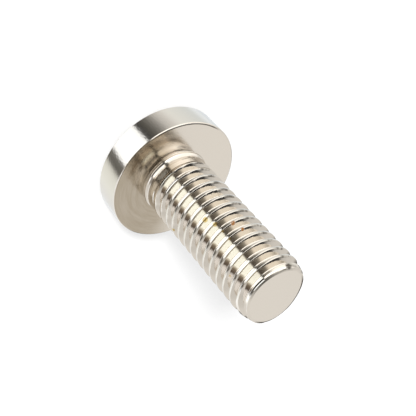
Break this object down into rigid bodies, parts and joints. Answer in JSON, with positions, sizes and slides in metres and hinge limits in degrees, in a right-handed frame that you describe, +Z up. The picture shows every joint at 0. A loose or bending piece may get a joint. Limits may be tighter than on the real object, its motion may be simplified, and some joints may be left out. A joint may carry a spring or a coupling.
{
  "type": "brake disc bolt",
  "caption": "Low round-headed bolt with a hex socket in the head, a short plain neck and a full-length rolled thread, for fixing a brake disc to a wheel hub.",
  "frame": {"origin": "centre of the head's flat top face, on which the bolt stands", "axes": "+Z up the shank from the head to the tip"},
  "size_m": [0.0154, 0.0154, 0.0234],
  "materials": {
    "bolt": "bright nickel plate over rolled steel, lightly worn"
  },
  "bodies": {
    "root": {"bolt": "bolt"}
  },
  "joints": []
}
